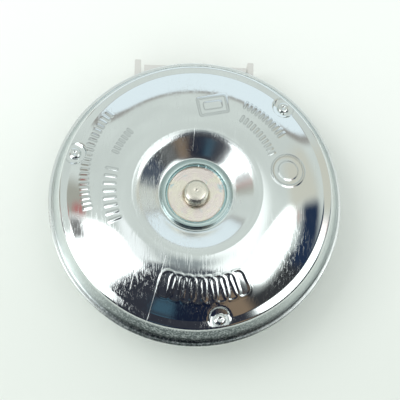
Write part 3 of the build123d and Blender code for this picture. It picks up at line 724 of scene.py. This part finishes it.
def laminate():
    material, tree, shader, where = newMaterial("brownLaminate")
    layers = addNode(tree, "ShaderNodeMapping", {"Vector": where, "Scale": (1, 1, 30)})
    fibre = noise(tree, layers.outputs[0], 200.0, 4.0)
    tree.links.new(mixed(tree, fibre, (0.22, 0.11, 0.06, 1), (0.36, 0.20, 0.11, 1)), shader.inputs["Base Color"])
    tree.links.new(ramped(tree, fibre, 0.3, 0.7, 0.45, 0.6), shader.inputs["Roughness"])
    return material


def coverFinish():
    # satin zinc; the crimped lip carries the same painted dark reflection on the near side as the shell's skirt
    material, tree, shader, where = newMaterial("coverZinc")
    x, y, z, radius, turn = aroundAxis(tree, where)
    nearSideShade, reflectionSpecks = nearSideDarkening(tree, where, turn)
    nearSideShade = calc(tree, "MULTIPLY", nearSideShade, ramped(tree, z, 0.0150, 0.0162))
    cloud = ramped(tree, noise(tree, where, 140.0, 4.0), 0.35, 0.65)
    tone = mixed(tree, cloud, (0.86, 0.88, 0.87, 1), (0.80, 0.83, 0.82, 1))
    # painted dark reflection on the near side of the crimped lip
    tone = mixed(tree, nearSideShade, tone, mixed(tree, reflectionSpecks, *nearSideReflection["lipReflectionTones"]))
    tree.links.new(tone, shader.inputs["Base Color"])
    tree.links.new(ramped(tree, cloud, 0.0, 1.0, 0.27, 0.40), shader.inputs["Roughness"])
    shader.inputs["Metallic"].default_value = 1.0
    return material


finishes = {
    "cover_zinc": coverFinish(),
    "inner_steel": metal("innerSteel", (0.55, 0.56, 0.57), (0.48, 0.49, 0.50), 0.35),
    "spring_steel": metal("springSteel", (0.42, 0.44, 0.48), (0.50, 0.50, 0.52), 0.28),
    "contact_silver": metal("contactSilver", (0.85, 0.85, 0.83), (0.76, 0.75, 0.72), 0.30),
    "tab_brass": metal("tinnedBrass", (0.78, 0.76, 0.68), (0.70, 0.67, 0.58), 0.28),
    "rivet_steel": rivetZinc,
    "natural_nylon": nylon("naturalNylon", (0.70, 0.695, 0.67), (0.64, 0.64, 0.61), 0.40),
    "bobbin_nylon": nylon("bobbinNylon", (0.70, 0.70, 0.65), (0.62, 0.62, 0.58), 0.45),
    "black_rubber": nylon("blackRubber", (0.035, 0.035, 0.035), (0.05, 0.05, 0.05), 0.65),
    "white_ceramic": nylon("whiteCeramic", (0.80, 0.79, 0.74), (0.74, 0.72, 0.67), 0.55),
    "brown_laminate": laminate(),
    "copper_wire": woundCopper(),
}
replacedNodes = {"rear_shell", "core_stud", "shell_rivets"}
for entry in frame["record"]["subparts"]:
    if entry["node"] not in replacedNodes:
        node = frame["nodes"][entry["node"]]
        node.data.materials.clear()
        node.data.materials.append(finishes[entry["material_slot"]])
print("finishes on", len(frame["nodes"]) - len(replacedNodes), "CAD nodes")


# Camera: the photograph's place, from the fit of the horn's circles

cameraPlace = {"distance": 480.0, "azimuth": 262.37, "tilt": 15.64, "roll": 9.09, "target": (1.50, -0.54, 20.0),
               "lens": 130.1, "sensor": 36.0, "clip": (0.01, 20)}


def makeCamera():
    c = cameraPlace
    azimuth, tilt, roll = radians(c["azimuth"]), radians(c["tilt"]), radians(c["roll"])
    back = Vector((sin(tilt) * cos(azimuth), sin(tilt) * sin(azimuth), cos(tilt)))
    level = Vector((-cos(azimuth), -sin(azimuth), 0))
    right = level.cross(back).normalized()
    up = back.cross(right)
    turnedRight = cos(roll) * right + sin(roll) * up
    turnedUp = -sin(roll) * right + cos(roll) * up
    data = bpy.data.cameras.new("photoCamera")
    data.lens, data.sensor_width = c["lens"], c["sensor"]
    data.clip_start, data.clip_end = c["clip"]
    camera = bpy.data.objects.new("photoCamera", data)
    scene.collection.objects.link(camera)
    place = (Vector(c["target"]) + back * c["distance"]) * millimetre
    camera.matrix_world = Matrix.Translation(place) @ Matrix((turnedRight, turnedUp, back)).transposed().to_4x4()
    scene.camera = camera


makeCamera()
scene.view_settings.view_transform = "Standard"


# Floor and light: a pale table, soft daylight, and a light tent whose panels show in the polished shell

# near and far: painted light fall-off across the table, darker towards the camera and lighter away from it
tableStyle = {"size": 20.0, "near": (0.77, 0.81, 0.77, 1), "far": (0.90, 0.93, 0.90, 1), "fade": 0.08, "cloud": 0.1,
              "rough": 0.6, "gloss": 0.0}  # with a gloss, the tent's foot would show in the table
lightStyle = {"day": (0.97, 1.0, 0.98, 1), "dayStrength": 0.93,
              "boxSize": (0.6, 0.5), "boxPower": 2.2, "boxPlace": (-0.55, 0.15, 0.75)}
tentShape = {"radius": 250.0, "centre": 20.0, "gap": 0.3, "rows": 48, "columns": 96}  # gap above the table in degrees
tentTones = [tuple(v * share for v in (0.70, 0.755, 0.725)) + (1,) for share in (0.93, 1.06)]
tentPanels = (  # azimuth from +X, polar angle from +Z, softness and corner in degrees; later ones cover earlier ones
    {"name": "zenith", "azimuth": (-180, 180), "polar": (-10, 5), "soft": 7, "colour": (0.30, 0.34, 0.35)},
    {"name": "backdropEdge", "azimuth": (38, 134), "polar": (55.5, 110), "soft": 4, "corner": 16,
     "colour": (0.36, 0.35, 0.33)},
    {"name": "backdrop", "azimuth": (42, 129), "polar": (58.0, 110), "soft": 3, "corner": 15,
     "colour": (0.86, 0.97, 1.02)},
    {"name": "warmWall", "azimuth": (14, 40), "polar": (36, 62), "soft": 10, "colour": (0.66, 0.66, 0.58)},
    {"name": "darkHead", "azimuth": (210, 322), "polar": (4, 20), "soft": 10, "colour": (0.10, 0.115, 0.135)},
    {"name": "darkSide", "azimuth": (214, 316), "polar": (14, 100), "soft": 17, "colour": (0.034, 0.037, 0.050)},
    {"name": "darkCorner", "azimuth": (300, 348), "polar": (43, 100), "soft": 8, "colour": (0.040, 0.042, 0.046)},
    {"name": "tealCard", "azimuth": (246, 263), "polar": (37, 50), "soft": 7, "colour": (0.050, 0.105, 0.150)},
    {"name": "navyCard", "azimuth": (260, 287), "polar": (36, 64), "soft": 7, "colour": (0.010, 0.016, 0.036)},
    {"name": "tanCard", "azimuth": (290, 307), "polar": (32, 62), "soft": 9, "colour": (0.25, 0.185, 0.13)},
    {"name": "blueCard", "azimuth": (340, 374), "polar": (46, 62), "soft": 8, "colour": (0.018, 0.034, 0.075)},
    {"name": "oliveCard", "azimuth": (160, 186), "polar": (45, 100), "soft": 9, "colour": (0.42, 0.42, 0.37)},
    {"name": "redSpot", "azimuth": (170, 176), "polar": (47, 57), "soft": 6, "colour": (0.50, 0.21, 0.20)},
    {"name": "warmSpot", "azimuth": (4, 12), "polar": (36, 43), "soft": 7, "colour": (0.50, 0.30, 0.26)},
    {"name": "leftBox", "azimuth": (178, 218), "polar": (19, 100), "soft": 9, "corner": 8, "colour": (2.6, 2.7, 2.7)},
    {"name": "speckCorner", "azimuth": (177, 189), "polar": (49, 100), "soft": 6, "colour": (0.24, 0.24, 0.24)},
    {"name": "rightBox", "azimuth": (317, 377), "polar": (20, 39), "soft": 8, "corner": 8, "colour": (2.6, 2.7, 2.7)},
    {"name": "rightBoxTop", "azimuth": (-45, 66), "polar": (7, 19), "soft": 8, "colour": (1.25, 1.32, 1.30)},
    {"name": "leftBoxTop", "azimuth": (150, 205), "polar": (9, 20), "soft": 8, "colour": (1.05, 1.10, 1.10)},
)


def panelMask(tree, azimuth, polar, panel):
    # 1 inside a panel with rounded corners, 0 outside, soft between
    soft = radians(panel["soft"])
    middle = radians(sum(panel["azimuth"]) / 2)
    half = radians(panel["azimuth"][1] - panel["azimuth"][0]) / 2
    level = sum(radians(v) for v in panel["polar"]) / 2
    tall = radians(panel["polar"][1] - panel["polar"][0]) / 2
    down = calc(tree, "ABSOLUTE", calc(tree, "SUBTRACT", polar, level))
    if half > 3:  # a panel all round has no sides
        return ramped(tree, down, tall + soft / 2, tall - soft / 2)
    off = calc(tree, "ABSOLUTE", calc(tree, "WRAP", calc(tree, "SUBTRACT", azimuth, middle), pi, -pi))
    corner = max(radians(panel.get("corner", 3.0)), soft / 2)  # less would leave the middle half clear
    pastSide = calc(tree, "MAXIMUM", calc(tree, "SUBTRACT", off, half - corner), 0.0)
    pastEnd = calc(tree, "MAXIMUM", calc(tree, "SUBTRACT", down, tall - corner), 0.0)
    return ramped(tree, lengthOf(tree, pastSide, pastEnd), corner + soft / 2, corner - soft / 2)


def makeTent():
    # seen only by reflections: neither the camera nor the daylight meets it
    t = tentShape
    lowest = degrees(asin(t["centre"] / t["radius"])) + 90 - t["gap"]
    outline = [(t["radius"] * sin(radians(p)), t["centre"] + t["radius"] * cos(radians(p)))
               for p in np.linspace(0, lowest, t["rows"])]
    outline[0] = (0, outline[0][1])
    tent = lathed("lightTent", outline, t["columns"])
    material = bpy.data.materials.new("tentPanels")
    material.use_nodes = True
    tree = material.node_tree
    tree.nodes.clear()
    where = addNode(tree, "ShaderNodeTexCoord").outputs["Object"]
    middle = (0, 0, -t["centre"] * millimetre)
    away = addNode(tree, "ShaderNodeVectorMath", {0: where, 1: middle}, operation="ADD").outputs[0]
    away = addNode(tree, "ShaderNodeVectorMath", {0: away}, operation="NORMALIZE").outputs[0]
    split = addNode(tree, "ShaderNodeSeparateXYZ", {0: away})
    azimuth = calc(tree, "ARCTAN2", split.outputs[1], split.outputs[0])
    polar = calc(tree, "ARCCOSINE", split.outputs[2])
    cloud = ramped(tree, noise(tree, away, 3.0, 3.0), 0.3, 0.7)
    colour = mixed(tree, cloud, *tentTones)
    for panel in tentPanels:
        colour = mixed(tree, panelMask(tree, azimuth, polar, panel), colour, (*panel["colour"], 1))
    glow = addNode(tree, "ShaderNodeEmission", {"Color": colour, "Strength": 1.0})
    addNode(tree, "ShaderNodeOutputMaterial", {"Surface": glow.outputs[0]})
    tent.data.materials.append(material)
    tent.visible_camera = tent.visible_diffuse = tent.visible_transmission = tent.visible_shadow = False


def makeWorld():
    world = bpy.data.worlds.new("dayLight")
    world.use_nodes = True
    tree = world.node_tree
    tree.nodes.clear()
    light = lightStyle
    background = addNode(tree, "ShaderNodeBackground", {"Color": light["day"], "Strength": light["dayStrength"]})
    addNode(tree, "ShaderNodeOutputWorld", {"Surface": background.outputs[0]})
    scene.world = world
    lamp = bpy.data.lights.new("softBox", "AREA")
    lamp.shape, (lamp.size, lamp.size_y), lamp.energy = "RECTANGLE", light["boxSize"], light["boxPower"]
    box = bpy.data.objects.new("softBox", lamp)
    scene.collection.objects.link(box)
    box.location = light["boxPlace"]
    box.rotation_euler = (Vector((0, 0, 0)) - box.location).to_track_quat("-Z", "Y").to_euler()
    box.visible_glossy = False


def makeFloor():
    style = tableStyle
    half = style["size"] / 2
    corners = [(-half, -half, 0), (half, -half, 0), (half, half, 0), (-half, half, 0)]
    floor = meshPiece("tableTop", corners, [(0, 1, 2, 3)])
    material, tree, shader, where = newMaterial("paleTable")
    y = addNode(tree, "ShaderNodeSeparateXYZ", {0: where}).outputs[1]
    cloud = calc(tree, "MULTIPLY", calc(tree, "SUBTRACT", noise(tree, where, 5.0, 3.0), 0.5), style["cloud"])
    # painted light: the table is darker near the camera and lighter far off
    depth = calc(tree, "ADD", ramped(tree, y, -style["fade"], style["fade"]), cloud)
    tree.links.new(mixed(tree, depth, style["near"], style["far"]), shader.inputs["Base Color"])
    shader.inputs["Roughness"].default_value = style["rough"]
    shader.inputs["Specular IOR Level"].default_value = style["gloss"]
    floor.data.materials.append(material)


makeTent()
makeWorld()
makeFloor()
print("light, floor and camera ready")
